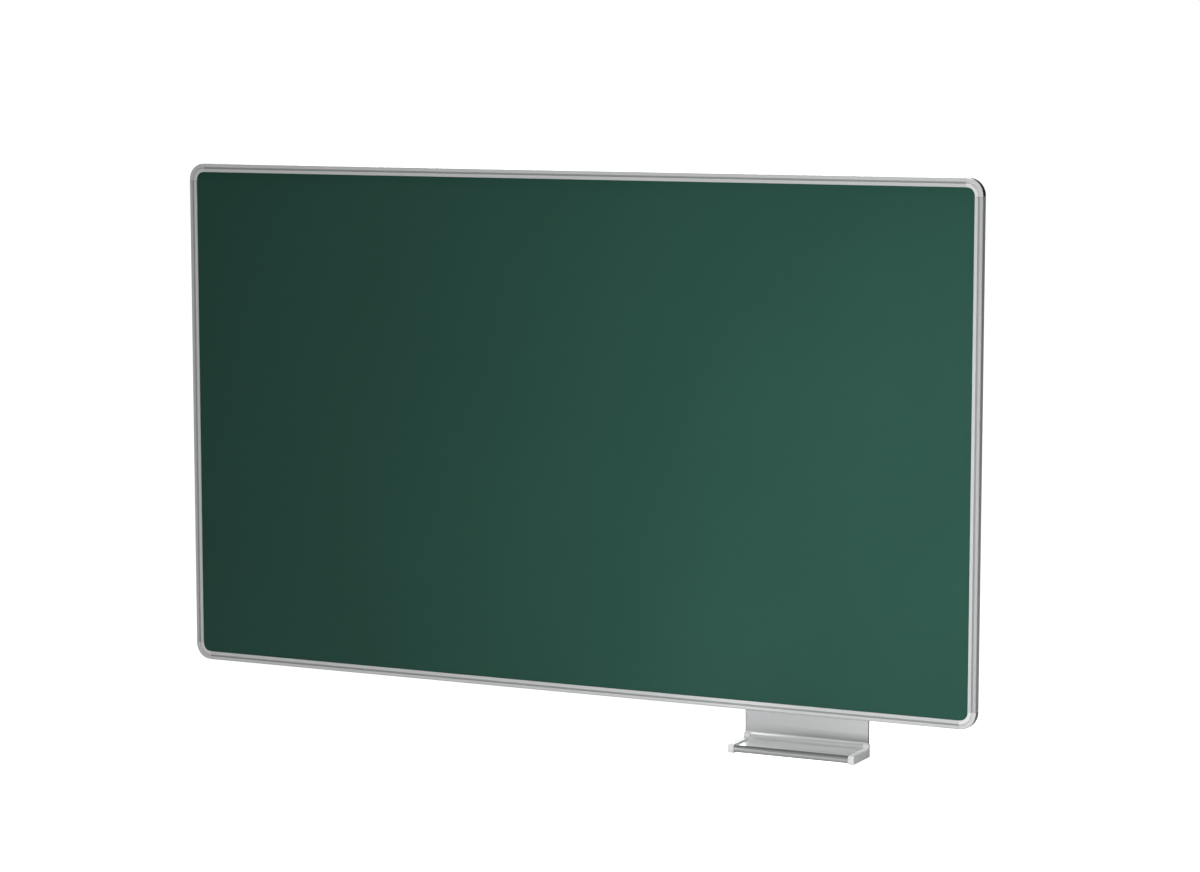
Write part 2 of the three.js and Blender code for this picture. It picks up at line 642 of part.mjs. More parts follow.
function tray() {
  const group = new THREE.Group();
  const cap = capGeometry();
  const mirrored = geometryOf(solidOf(cap).mirror([1, 0, 0]));
  group.add(
    piece("tray_profile", prismAlongX(traySection(), PROFILE_LENGTH), ALUMINIUM),
    piece("tray_cap_left", cap, CORNER_PLASTIC),
    piece("tray_cap_right", mirrored, CORNER_PLASTIC),
  );
  group.position.set(BOARD_WIDTH / 2 - TRAY_INSET, 0, -BOARD_HEIGHT / 2 - TRAY_FLOOR_DROP);
  return group;
}

const chalkboard = new THREE.Group();
chalkboard.add(writingPanel(), frame(), wallBrackets(), tray());

export default chalkboard;
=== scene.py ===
import math
import bmesh
import bpy
from mathutils import Matrix, Vector


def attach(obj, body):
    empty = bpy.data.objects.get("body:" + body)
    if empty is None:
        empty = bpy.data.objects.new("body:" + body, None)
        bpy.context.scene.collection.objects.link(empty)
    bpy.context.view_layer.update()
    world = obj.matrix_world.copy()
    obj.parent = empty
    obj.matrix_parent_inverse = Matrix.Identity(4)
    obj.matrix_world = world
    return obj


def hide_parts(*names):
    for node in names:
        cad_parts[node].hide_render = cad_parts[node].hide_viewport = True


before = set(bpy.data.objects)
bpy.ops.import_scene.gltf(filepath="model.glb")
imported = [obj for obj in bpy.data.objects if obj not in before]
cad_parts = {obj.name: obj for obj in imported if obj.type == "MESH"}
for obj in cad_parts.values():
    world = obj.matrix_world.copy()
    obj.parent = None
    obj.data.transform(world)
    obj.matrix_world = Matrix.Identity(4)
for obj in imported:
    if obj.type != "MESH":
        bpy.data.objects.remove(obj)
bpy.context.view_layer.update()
MM = 0.001


# The writing panel. A sheet of steel with fired green enamel is glued to a fibre board core,
# with a thin galvanised sheet on the back. The enamel is satin, and its surface has the faint
# peel of a fired coat.
NOISE_SPAN = (0.3, 0.7)


def new_material(name):
    material = bpy.data.materials.new(name)
    material.use_nodes = True
    tree = material.node_tree
    return material, tree, tree.nodes["Principled BSDF"]


def object_point(tree, stretch=(1.0, 1.0, 1.0)):
    """The point in the piece's own coordinates, which are those of the shared frame."""
    place = tree.nodes.new("ShaderNodeTexCoord")
    mapping = tree.nodes.new("ShaderNodeMapping")
    mapping.inputs["Scale"].default_value = stretch
    tree.links.new(place.outputs["Object"], mapping.inputs["Vector"])
    return mapping.outputs["Vector"]


def noise(tree, point, scale, detail, roughness=0.5):
    texture = tree.nodes.new("ShaderNodeTexNoise")
    texture.inputs["Scale"].default_value = scale
    texture.inputs["Detail"].default_value = detail
    texture.inputs["Roughness"].default_value = roughness
    tree.links.new(point, texture.inputs["Vector"])
    return texture.outputs["Fac"]


def grains(tree, point, scale):
    """Flat grains, each with a shade of its own, and the distance from the middle of each."""
    texture = tree.nodes.new("ShaderNodeTexVoronoi")
    texture.inputs["Scale"].default_value = scale
    tree.links.new(point, texture.inputs["Vector"])
    shade = tree.nodes.new("ShaderNodeSeparateColor")
    tree.links.new(texture.outputs["Color"], shade.inputs["Color"])
    return shade.outputs["Red"], texture.outputs["Distance"]


def ramp(tree, value, dark, light, span=NOISE_SPAN):
    """A colour between dark and light, by where the value lies in the span."""
    colours = tree.nodes.new("ShaderNodeValToRGB")
    first, last = colours.color_ramp.elements
    first.position, last.position = span
    first.color, last.color = (*dark, 1.0), (*light, 1.0)
    tree.links.new(value, colours.inputs["Fac"])
    return colours.outputs["Color"]


def spread(tree, value, results, span=NOISE_SPAN):
    """The value's span mapped evenly to the results, which hold on past its ends."""
    mapped = tree.nodes.new("ShaderNodeMapRange")
    mapped.inputs["From Min"].default_value, mapped.inputs["From Max"].default_value = span
    mapped.inputs["To Min"].default_value, mapped.inputs["To Max"].default_value = results
    tree.links.new(value, mapped.inputs["Value"])
    return mapped.outputs["Result"]


def add_up(tree, first, second, share):
    """The first value plus a share of the second."""
    total = tree.nodes.new("ShaderNodeMath")
    total.operation = "MULTIPLY_ADD"
    tree.links.new(second, total.inputs[0])
    total.inputs[1].default_value = share
    tree.links.new(first, total.inputs[2])
    return total.outputs["Value"]


def raise_surface(tree, shader, height, distance):
    """Bump the shader's surface. The distance is in millimetres."""
    bump = tree.nodes.new("ShaderNodeBump")
    bump.inputs["Distance"].default_value = distance * MM
    bump.inputs["Strength"].default_value = 1.0
    tree.links.new(height, bump.inputs["Height"])
    tree.links.new(bump.outputs["Normal"], shader.inputs["Normal"])


def green_enamel():
    material, tree, shader = new_material("green_enamel")
    point = object_point(tree)
    cloud = noise(tree, point, scale=2.2, detail=4.0)
    mottle = noise(tree, point, scale=55.0, detail=4.0)
    tone, span = add_up(tree, cloud, mottle, share=0.35), (0.45, 0.9)
    dark, light = (0.0250, 0.0840, 0.0630), (0.0280, 0.0920, 0.0690)
    tree.links.new(ramp(tree, tone, dark, light, span), shader.inputs["Base Color"])
    tree.links.new(spread(tree, tone, (0.47, 0.53), span), shader.inputs["Roughness"])
    shader.inputs["Specular IOR Level"].default_value = 0.12
    peel = noise(tree, point, scale=420.0, detail=2.0)
    raise_surface(tree, shader, peel, distance=0.03)
    return material


def fibre_board():
    material, tree, shader = new_material("fibre_board")
    pressed = object_point(tree, (1.0, 5.0, 1.0))
    fibres = noise(tree, pressed, scale=350.0, detail=6.0, roughness=0.7)
    dark, light = (0.17, 0.10, 0.055), (0.38, 0.26, 0.16)
    tree.links.new(ramp(tree, fibres, dark, light), shader.inputs["Base Color"])
    tree.links.new(spread(tree, fibres, (0.75, 0.92)), shader.inputs["Roughness"])
    raise_surface(tree, shader, fibres, distance=0.12)
    return material


def galvanised_sheet():
    material, tree, shader = new_material("galvanised_sheet")
    spangle, edge = grains(tree, object_point(tree), scale=110.0)
    streaks = noise(tree, object_point(tree, (1.0, 1.0, 0.1)), scale=40.0, detail=4.0)
    tone, span = add_up(tree, streaks, spangle, share=0.5), (0.4, 1.0)
    dark, light = (0.50, 0.515, 0.525), (0.62, 0.63, 0.64)
    tree.links.new(ramp(tree, tone, dark, light, span), shader.inputs["Base Color"])
    tree.links.new(spread(tree, tone, (0.38, 0.46), span), shader.inputs["Roughness"])
    shader.inputs["Metallic"].default_value = 0.4
    raise_surface(tree, shader, edge, distance=0.03)
    return material


for layer, finish in (
    ("writing_sheet", green_enamel()),
    ("core_board", fibre_board()),
    ("backing_sheet", galvanised_sheet()),
):
    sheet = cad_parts[layer]
    sheet.data.materials.clear()
    sheet.data.materials.append(finish)


# The frame's four rails. They are extruded aluminium with a satin anodised finish: a grooved
# face with a round outer edge, a slot that takes the panel, a hollow for the corners' tangs
# and a channel on the back for brackets and hooks. Screw holes are drilled near each end.
HALF_WIDTH, HALF_HEIGHT = 1000.0, 600.0
FRONT_Y, FRAME_BACK_Y = -20.4, -4.0
LONG_RAIL, SHORT_RAIL = 1919.4, 1119.4
RAIL_FACE = 20.0
CORNER_RADIUS = 38.0
GROOVE_EDGE, GROOVE_MIDDLE = 7.9, 10.0
SLOT_BOTTOM = 12.0
LIP_BACK, FRAME_DEPTH = 12.6, 16.4
TANG_ROOM = ((1.6, 10.4), (2.5, 11.2))
SCREW_INSET = 18.0
SCREW_ACROSS = 6.0
SCREW_HOLE = 2.1
SCREW_HOLE_START = 10.0
OVERSHOOT = 1.0
WELD = 0.005
HAIR = 0.01
# Each point gives how far it lies in from the frame's outer edge and back from the face. Where
# the section is rounded, the radius and the number of flats follow.
FACE_SECTION = [
    (0, 0, 2.6, 10),
    (GROOVE_EDGE, 0, 0.4, 3),
    (GROOVE_EDGE, 1.1, 0.65, 4),
    (12.1, 1.1, 0.65, 4),
    (12.1, 0, 0.4, 3),
    (RAIL_FACE, 0, 1.2, 6),
    (RAIL_FACE, 2, 0.4, 2),
    (SLOT_BOTTOM, 2),
    (SLOT_BOTTOM, 11.2),
    (18, 11.2),
    (18, LIP_BACK, 0.3, 2),
]
RAIL_BACK = [(1.6, LIP_BACK), (1.6, 15), (9, 15, 0.3, 2), (9, FRAME_DEPTH, 0.4, 3)]
BACK_EDGE = (0, FRAME_DEPTH, 0.8, 4)


def pick(piece, choose, kind="VERT"):
    """Select the points, edges or faces of the piece in hand by a test of their corners, which
    it gets as a list, in millimetres."""
    bpy.ops.mesh.select_mode(type=kind)
    bpy.ops.mesh.select_all(action="DESELECT")
    shape = bmesh.from_edit_mesh(piece.data)
    for vert in shape.verts:
        vert.select = kind == "VERT" and choose([vert.co / MM])
    for edge in shape.edges:
        if kind == "EDGE":
            edge.select_set(choose([vert.co / MM for vert in edge.verts]))
    for face in shape.faces:
        if kind == "FACE":
            face.select_set(choose([vert.co / MM for vert in face.verts]))
    bmesh.update_edit_mesh(piece.data)


def near(point, spot):
    return (point - Vector(spot)).length < 2 * HAIR


def outline_face(name, x, points):
    """A flat face across the X axis. It is drawn point by point through y and z, closed and
    filled, and then rounded at the points that also give a radius and a number of flats. All
    sizes are in millimetres."""
    bpy.ops.object.select_all(action="DESELECT")
    bpy.ops.mesh.primitive_plane_add(size=MM)
    piece = bpy.context.object
    piece.name = name
    bpy.ops.object.mode_set(mode="EDIT")
    bpy.ops.mesh.select_mode(type="VERT")
    bpy.ops.mesh.merge(type="CENTER")
    here = Vector((x, *points[0][:2]))
    bpy.ops.transform.translate(value=here * MM)
    for y, z, *_ in points[1:] + points[:1]:
        there = Vector((x, y, z))
        step = {"value": (there - here) * MM}
        bpy.ops.mesh.extrude_region_move(TRANSFORM_OT_translate=step)
        here = there
    bpy.ops.mesh.select_all(action="SELECT")
    bpy.ops.mesh.remove_doubles(threshold=WELD * MM)
    bpy.ops.mesh.edge_face_add()
    for y, z, *rounding in points:
        if rounding:
            radius, flats = rounding
            pick(piece, lambda ends: near(ends[0], (x, y, z)))
            bpy.ops.mesh.bevel(affect="VERTICES", offset=radius * MM, segments=flats)
    bpy.ops.mesh.select_all(action="SELECT")
    bpy.ops.mesh.remove_doubles(threshold=WELD * MM)
    return piece


def pull(x=0.0, y=0.0, z=0.0):
    """Extrude what is selected. The new end stays selected."""
    step = {"value": Vector((x, y, z)) * MM}
    bpy.ops.mesh.extrude_region_move(TRANSFORM_OT_translate=step)


def close_up():
    """Leave edit mode with the faces pointing out."""
    bpy.ops.mesh.select_all(action="SELECT")
    bpy.ops.mesh.normals_make_consistent(inside=False)
    bpy.ops.object.mode_set(mode="OBJECT")


def take_up(piece):
    bpy.ops.object.select_all(action="DESELECT")
    piece.select_set(True)
    bpy.context.view_layer.objects.active = piece


def add_block(low, high, round_off=0.0):
    """A block between two corners in millimetres, with its edges rounded off."""
    low, high = Vector(low), Vector(high)
    bpy.ops.object.select_all(action="DESELECT")
    bpy.ops.mesh.primitive_cube_add(size=1.0, location=(low + high) / 2 * MM)
    block = bpy.context.object
    block.scale = (high - low) * MM
    bpy.ops.object.transform_apply(location=True, rotation=True, scale=True)
    if round_off:
        bpy.ops.object.mode_set(mode="EDIT")
        bpy.ops.mesh.bevel(offset=round_off * MM, segments=3, affect="EDGES")
        bpy.ops.object.mode_set(mode="OBJECT")
    return block


def add_rod(radius, low_y, high_y, x, z, sides=32):
    bpy.ops.object.select_all(action="DESELECT")
    bpy.ops.mesh.primitive_cylinder_add(
        vertices=sides,
        radius=radius * MM,
        depth=(high_y - low_y) * MM,
        location=Vector((x, (low_y + high_y) / 2, z)) * MM,
        rotation=(math.pi / 2, 0.0, 0.0),
    )
    bpy.ops.object.transform_apply(location=True, rotation=True, scale=True)
    return bpy.context.object


def work(piece, other, operation):
    """Join another solid to the piece, or cut it out of the piece, and use it up."""
    take_up(piece)
    modifier = piece.modifiers.new(operation, "BOOLEAN")
    modifier.object = other
    modifier.operation = operation
    modifier.solver = "EXACT"
    bpy.ops.object.modifier_apply(modifier=modifier.name)
    bpy.data.objects.remove(other)


def smooth(piece, break_edges=0.0):
    """Take the sharpness off the edges, and shade the rounds smooth and the flats flat."""
    take_up(piece)
    if break_edges:
        worn = piece.modifiers.new("edges", "BEVEL")
        worn.width = break_edges * MM
        worn.segments = 2
        worn.limit_method = "ANGLE"
        worn.angle_limit = math.radians(50)
        bpy.ops.object.modifier_apply(modifier=worn.name)
    bpy.ops.object.shade_smooth_by_angle(angle=math.radians(35))
    evened = piece.modifiers.new("flats", "WEIGHTED_NORMAL")
    evened.keep_sharp = True
    bpy.ops.object.modifier_apply(modifier=evened.name)


def put_copy(model, name, turn, x, y, z):
    """A copy of the model with its own mesh, turned about Y and moved to its place."""
    take_up(model)
    bpy.ops.object.duplicate()
    copy = bpy.context.object
    copy.name = name
    copy.rotation_euler = (0.0, turn, 0.0)
    copy.location = Vector((x, y, z)) * MM
    bpy.ops.object.transform_apply(location=True, rotation=True, scale=True)
    return copy


def stand_for(piece, node, body, material):
    """Finish the piece and let it ride on the body in place of a node of the solids."""
    piece.data.materials.clear()
    piece.data.materials.append(material)
    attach(piece, body)
    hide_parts(node)


def frame_section(name, x, edge, points):
    """The frame's cross-section at x, with its outer edge at the height of edge."""
    drawn = [(FRONT_Y + depth, edge - inward, *rounding) for inward, depth, *rounding in points]
    return outline_face(name, x, drawn)


def arithmetic(tree, operation, first, second=None):
    """A Math node. Its second value is a number, or another node's result."""
    step = tree.nodes.new("ShaderNodeMath")
    step.operation = operation
    tree.links.new(first, step.inputs[0])
    if isinstance(second, float):
        step.inputs[1].default_value = second
    elif second:
        tree.links.new(second, step.inputs[1])
    return step.outputs["Value"]


def product(tree, first, *others):
    for other in others:
        first = arithmetic(tree, "MULTIPLY", first, other)
    return first


def object_axes(tree):
    place = tree.nodes.new("ShaderNodeSeparateXYZ")
    tree.links.new(object_point(tree), place.inputs["Vector"])
    return place.outputs["X"], place.outputs["Y"], place.outputs["Z"]


def rise(tree, value, low, high):
    """0 up to the low size and 1 past the high one. Both are in millimetres."""
    return spread(tree, value, (0.0, 1.0), (low * MM, high * MM))


def fall(tree, value, low, high):
    """1 up to the low size and 0 past the high one. Both are in millimetres."""
    return spread(tree, value, (1.0, 0.0), (low * MM, high * MM))


def band(tree, value, low, high, fade):
    """1 where the value lies between two sizes in millimetres, and 0 past the fade outside."""
    return product(tree, rise(tree, value, low - fade, low), fall(tree, value, high, high + fade))


def depth_and_inset(tree):
    """How far forward or back a point lies, which is its y, and how far it lies inside the
    frame's outer edge, in metres."""
    x, depth, z = object_axes(tree)
    beyond = []
    for axis, half in ((x, HALF_WIDTH), (z, HALF_HEIGHT)):
        size = arithmetic(tree, "ABSOLUTE", axis)
        straight = arithmetic(tree, "SUBTRACT", size, (half - CORNER_RADIUS) * MM)
        reach = arithmetic(tree, "MAXIMUM", straight, 0.0)
        beyond.append(arithmetic(tree, "POWER", reach, 2.0))
    radius = arithmetic(tree, "SQRT", arithmetic(tree, "ADD", *beyond))
    inset = arithmetic(tree, "SUBTRACT", radius, CORNER_RADIUS * MM)
    return depth, arithmetic(tree, "MULTIPLY", inset, -1.0)


def painted_recess_shade(tree):
    """1 in the groove of the frame's face and down the side of its lip, where the darker colour is
    painted shade, and 0 elsewhere."""
    depth, inset = depth_and_inset(tree)
    aside = arithmetic(tree, "SUBTRACT", inset, GROOVE_MIDDLE * MM)
    across = fall(tree, arithmetic(tree, "ABSOLUTE", aside), 1.5, 2.3)
    groove = product(tree, across, fall(tree, depth, FRONT_Y + 2, FRONT_Y + 3))
    inner_side = rise(tree, inset, RAIL_FACE - 1, RAIL_FACE - 0.3)
    lip = product(tree, inner_side, rise(tree, depth, FRONT_Y + 0.2, FRONT_Y + 0.9))
    return arithmetic(tree, "MAXIMUM", groove, lip)


def tone_down(material, place, tint):
    """Multiply a finished material's colour by the tint where place is 1."""
    tree = material.node_tree
    base = tree.nodes["Principled BSDF"].inputs["Base Color"]
    mixed = tree.nodes.new("ShaderNodeMix")
    mixed.data_type = "RGBA"
    mixed.blend_type = "MULTIPLY"
    factor, colour, multiplier = mixed.inputs[0], mixed.inputs[6], mixed.inputs[7]
    multiplier.default_value = (*tint, 1.0)
    tree.links.new(place, factor)
    tree.links.new(base.links[0].from_socket, colour)
    tree.links.new(mixed.outputs[2], base)


def anodised_aluminium(name, along, dark, light, rough, metallic):
    """Satin aluminium with the fine lines that the extrusion die leaves along the bar."""
    material, tree, shader = new_material(name)
    stretch = [1.0, 1.0, 1.0]
    stretch[along] = 0.01
    point = object_point(tree, stretch)
    lines = noise(tree, point, scale=900.0, detail=3.0)
    hairs = noise(tree, point, scale=3200.0, detail=2.0)
    tone, span = add_up(tree, lines, hairs, share=0.5), (0.5, 1.0)
    tree.links.new(ramp(tree, tone, dark, light, span), shader.inputs["Base Color"])
    # Painted shade: the groove and the side of the lip are darkened.
    tone_down(material, painted_recess_shade(tree), (0.52, 0.53, 0.53))
    tree.links.new(spread(tree, tone, rough, span), shader.inputs["Roughness"])
    shader.inputs["Metallic"].default_value = metallic
    raise_surface(tree, shader, tone, distance=0.008)
    return material


def rail_aluminium(name, along):
    dark, light = (0.64, 0.655, 0.655), (0.70, 0.71, 0.71)
    return anodised_aluminium(name, along, dark, light, rough=(0.27, 0.34), metallic=0.4)


def shaded_upright_aluminium():
    """The rails' aluminium as used on the upright rails, with painted shade on the face outside
    the groove and on the outer side just behind the rounded edge."""
    material = rail_aluminium("rail_aluminium_along_z", 2)
    tree = material.node_tree
    depth, inset = depth_and_inset(tree)
    # Painted shade on the face outside the groove.
    outside = band(tree, inset, -1.0, GROOVE_EDGE, fade=0.6)
    face = band(tree, depth, FRONT_Y - 1, FRONT_Y + 1, fade=0.6)
    tone_down(material, product(tree, outside, face), (0.82, 0.82, 0.82))
    # Painted shade on the outer side just behind the rounded edge.
    behind_edge = band(tree, depth, FRONT_Y + 1.8, FRONT_Y + 3.6, fade=0.8)
    tone_down(material, behind_edge, (0.72, 0.72, 0.72))
    return material


def rail_model(length):
    """A rail along X, with its outer edge on z = 0 and its inner side below."""
    half = length / 2
    section = FACE_SECTION + RAIL_BACK + [BACK_EDGE]
    model = frame_section("rail_model", -half, 0.0, section)
    pull(x=length)
    close_up()
    (outer, inner), (front, rear) = TANG_ROOM
    low = (-half - OVERSHOOT, FRONT_Y + front, -inner)
    high = (half + OVERSHOOT, FRONT_Y + rear, -outer)
    work(model, add_block(low, high), "DIFFERENCE")
    hole_front, hole_back = FRONT_Y + SCREW_HOLE_START, FRAME_BACK_Y + OVERSHOOT
    for x in (SCREW_INSET - half, half - SCREW_INSET):
        hole = add_rod(SCREW_HOLE, hole_front, hole_back, x, -SCREW_ACROSS)
        work(model, hole, "DIFFERENCE")
    smooth(model)
    return model


for length, material, places in (
    (
        LONG_RAIL,
        rail_aluminium("rail_aluminium_along_x", 0),
        (("top", 0.0, 0.0, HALF_HEIGHT), ("bottom", math.pi, 0.0, -HALF_HEIGHT)),
    ),
    (
        SHORT_RAIL,
        shaded_upright_aluminium(),
        (("right", math.pi / 2, HALF_WIDTH, 0.0), ("left", -math.pi / 2, -HALF_WIDTH, 0.0)),
    ),
):
    model = rail_model(length)
    for side, turn, x, z in places:
        rail = put_copy(model, f"aluminium_rail_{side}", turn, x, 0.0, z)
        stand_for(rail, f"{side}_rail", "board", material)
    bpy.data.objects.remove(model)


# The corner mouldings. Each is a light grey plastic moulding with the rail's face bent round a
# quarter circle and open at the back. A tang at each end pushes into a rail and is screwed
# there.
CORNER_LEG = 2.0
CORNER_WALL = 2.4
END_WALL = 3.0
REAR_LIP = 1.4
BITE = 0.3
SEAM = 0.3
TANG = 35.0
TANG_ROOT = 0.5
TANG_PLAY = 0.35
ARC_X, ARC_Z = HALF_WIDTH - CORNER_RADIUS, HALF_HEIGHT - CORNER_RADIUS
CORNERS = (
    ("top_right", ARC_X, ARC_Z, 0.0),
    ("bottom_right", ARC_X, -ARC_Z, math.pi / 2),
    ("bottom_left", -ARC_X, -ARC_Z, math.pi),
    ("top_left", -ARC_X, ARC_Z, -math.pi / 2),
)
SCREW_ALONG, SCREW_UP = -(CORNER_LEG + SEAM + SCREW_INSET), CORNER_RADIUS - SCREW_ACROSS
SCREW_SPOTS = ((SCREW_ALONG, SCREW_UP), (SCREW_UP, SCREW_ALONG))


def moulded_plastic(name, dark, light, gloss):
    material, tree, shader = new_material(name)
    point = object_point(tree)
    grain = noise(tree, point, scale=1500.0, detail=2.0)
    flow = noise(tree, point, scale=60.0, detail=4.0)
    tree.links.new(ramp(tree, flow, dark, light), shader.inputs["Base Color"])
    tree.links.new(spread(tree, grain, (0.38, 0.5)), shader.inputs["Roughness"])
    shader.inputs["Specular IOR Level"].default_value = gloss
    raise_surface(tree, shader, grain, distance=0.015)
    return material


def corner_finish():
    """The light grey plastic, with painted shade in the groove, outside the groove and towards the
    right of the board. Its outer side has painted shade too, and a smooth metallic finish."""
    dark, light = (0.90, 0.91, 0.90), (0.94, 0.95, 0.94)
    material = moulded_plastic("corner_plastic", dark, light, gloss=0.3)
    tree = material.node_tree
    shader = tree.nodes["Principled BSDF"]
    # Painted shade in the groove and down the side of the lip.
    tone_down(material, painted_recess_shade(tree), (0.74, 0.74, 0.74))
    depth, inset = depth_and_inset(tree)
    # Painted shade on the face outside the groove.
    tone_down(material, fall(tree, inset, 7.5, 8.5), (0.85, 0.85, 0.85))
    # Painted shade, darker towards the right of the board.
    painted_shade_rightward = rise(tree, object_axes(tree)[0], -HALF_WIDTH / 2, HALF_WIDTH / 2)
    tone_down(material, painted_shade_rightward, (0.82, 0.82, 0.82))
    # Painted shade on the outer side, which is also made smoother and metallic.
    behind_face = rise(tree, depth, FRONT_Y + 0.5, FRONT_Y + 1.3)
    side = product(tree, behind_face, band(tree, inset, -1.0, 3.0, fade=1.0))
    tone_down(material, side, (0.7, 0.7, 0.71))
    rough = shader.inputs["Roughness"]
    tree.links.new(add_up(tree, rough.links[0].from_socket, side, share=-0.2), rough)
    tree.links.new(product(tree, side, 0.92), shader.inputs["Metallic"])
    return material


def corner_model():
    """The top right corner, about the centre of its arc."""
    (room_outer, room_inner), (room_front, room_rear) = TANG_ROOM
    outer, inner = CORNER_WALL, SLOT_BOTTOM - CORNER_WALL
    back = [(inner, LIP_BACK), (inner, room_front), (outer, room_front)]
    back += [(outer, FRAME_DEPTH, 0.4, 3), BACK_EDGE]
    model = frame_section("corner_model", -CORNER_LEG, CORNER_RADIUS, FACE_SECTION + back)
    pull(x=CORNER_LEG)
    bpy.ops.mesh.spin(steps=24, angle=math.pi / 2, center=(0, 0, 0), axis=(0, -1, 0))
    pull(z=-CORNER_LEG)
    close_up()
    front, rear = FRONT_Y + room_front, FRONT_Y + room_rear
    high, low = CORNER_RADIUS - outer + BITE, CORNER_RADIUS - inner - BITE
    tang_high = CORNER_RADIUS - room_outer - TANG_PLAY
    tang_low = CORNER_RADIUS - room_inner + TANG_PLAY
    tang_end = CORNER_LEG + SEAM + TANG
    end_wall = (-CORNER_LEG, END_WALL - CORNER_LEG), (front - BITE, rear + REAR_LIP), (low, high)
    tang = (-tang_end, TANG_ROOT), (front + TANG_PLAY, rear - TANG_PLAY), (tang_low, tang_high)
    for flip, (x, z) in zip((False, True), SCREW_SPOTS):
        for spans, round_off in ((end_wall, 0.0), (tang, 0.6)):
            first, last = zip(*spans)
            if flip:
                first, last = first[::-1], last[::-1]
            work(model, add_block(first, last, round_off), "UNION")
        hole = add_rod(SCREW_HOLE, front - OVERSHOOT, rear + OVERSHOOT, x, z)
        work(model, hole, "DIFFERENCE")
    smooth(model)
    return model


corner_plastic = corner_finish()
model = corner_model()
for name, x, z, turn in CORNERS:
    corner = put_copy(model, f"moulded_corner_{name}", turn, x, 0.0, z)
    stand_for(corner, f"corner_{name}", "board", corner_plastic)
bpy.data.objects.remove(model)


# The corner screws. They are zinc plated steel, with a pan head and a cross recess. Each one
# goes in from the back, through the rail's web and into a corner's tang.
HEAD_RADIUS = 3.5
HEAD_RIM = 0.9
HEAD_HEIGHT = 2.2
DOME_STEPS = 7
RECESS_REACH = 2.1
RECESS_HALF_WIDTH = 0.45
RECESS_DEPTH = 1.2
SHANK_RADIUS = 1.75
PLAIN_SHANK = 0.8
CORE_RADIUS = 1.3
THREAD_PITCH = 1.0
THREAD_TURNS = 6
RUN_OUT = 0.4
POINT_RADIUS = 0.25
POINT_LENGTH = 2.8


def zinc_plate():
    material, tree, shader = new_material("zinc_plate")
    point = object_point(tree)
    shade, _ = grains(tree, point, scale=900.0)
    cloud = noise(tree, point, scale=90.0, detail=4.0)
    tone, span = add_up(tree, cloud, shade, share=0.2), (0.35, 0.85)
    dark, light = (0.46, 0.48, 0.50), (0.64, 0.655, 0.66)
    tree.links.new(ramp(tree, tone, dark, light, span), shader.inputs["Base Color"])
    tree.links.new(spread(tree, tone, (0.3, 0.46), span), shader.inputs["Roughness"])
    shader.inputs["Metallic"].default_value = 0.5
    raise_surface(tree, shader, tone, distance=0.02)
    return material


def grow_ring(radius, advance, last_radius):
    """Extrude the end of a turned piece and make it wider or narrower. Returns its radius."""
    pull(y=advance)
    share = radius / last_radius
    bpy.ops.transform.resize(value=(share, 1.0, share))
    return radius


def screw_model():
    """A screw along Y, with its head from y = 0 back and its point towards the front."""
    model = add_rod(HEAD_RADIUS, 0.0, HEAD_RIM, 0.0, 0.0)
    bpy.ops.object.mode_set(mode="EDIT")
    pick(model, lambda ends: min(end.y for end in ends) > HEAD_RIM - HAIR, "FACE")
    last, dome, turn = HEAD_RADIUS, HEAD_HEIGHT - HEAD_RIM, math.pi / 2 / DOME_STEPS
    for step in range(1, DOME_STEPS):
        advance = dome * (math.sin(turn * step) - math.sin(turn * (step - 1)))
        last = grow_ring(HEAD_RADIUS * math.cos(turn * step), advance, last)
    pull(y=HAIR)
    pick(model, lambda ends: max(end.y for end in ends) < HAIR, "FACE")
    last = grow_ring(SHANK_RADIUS, 0.0, HEAD_RADIUS)
    last = grow_ring(SHANK_RADIUS, -PLAIN_SHANK, last)
    for _ in range(THREAD_TURNS):
        for radius, share in ((CORE_RADIUS, 0.35), (CORE_RADIUS, 0.3), (SHANK_RADIUS, 0.35)):
            last = grow_ring(radius, -share * THREAD_PITCH, last)
    last = grow_ring(CORE_RADIUS, -RUN_OUT, last)
    grow_ring(POINT_RADIUS, -POINT_LENGTH, last)
    close_up()
    bottom, top = HEAD_HEIGHT - RECESS_DEPTH, HEAD_HEIGHT + OVERSHOOT
    reach, side = RECESS_REACH, RECESS_HALF_WIDTH
    for x, z in ((reach, side), (side, reach)):
        work(model, add_block((-x, bottom, -z), (x, top, z)), "DIFFERENCE")
    smooth(model, break_edges=0.06)
    return model


zinc = zinc_plate()
model = screw_model()
for name, arc_x, arc_z, turn in CORNERS:
    for number, (across, up) in enumerate(SCREW_SPOTS, 1):
        x = arc_x + across * math.cos(turn) + up * math.sin(turn)
        z = arc_z - across * math.sin(turn) + up * math.cos(turn)
        screw = put_copy(model, f"pan_head_screw_{name}_{number}", turn, x, FRAME_BACK_Y, z)
        stand_for(screw, f"corner_screw_{name}_{number}", "board", zinc)
bpy.data.objects.remove(model)


# The wall brackets. Each is bent from a strip of zinc plated steel. Its foot is screwed to the
# wall through a slot, and its leg stands in the channel of the rail and carries the board.
BRACKET_WIDTH = 40.0
BRACKET_X = 900.0
LEG_FRONT, LEG_BACK, LEG_END = -7.4, -5.8, -1.9
SHELF_TOP, SHELF_BOTTOM = -9.3, -11.3
FOOT_FRONT, FOOT_END = -2.0, -53.3
FOOT_CORNER = 6.0
OUTER_BEND, INNER_BEND = (2.2, 6), (0.5, 3)
SLOT_RADIUS = 3.0
SLOT_FRONT, SLOT_BACK = -5.0, 3.0
SLOT_HALF_TRAVEL = 6.0


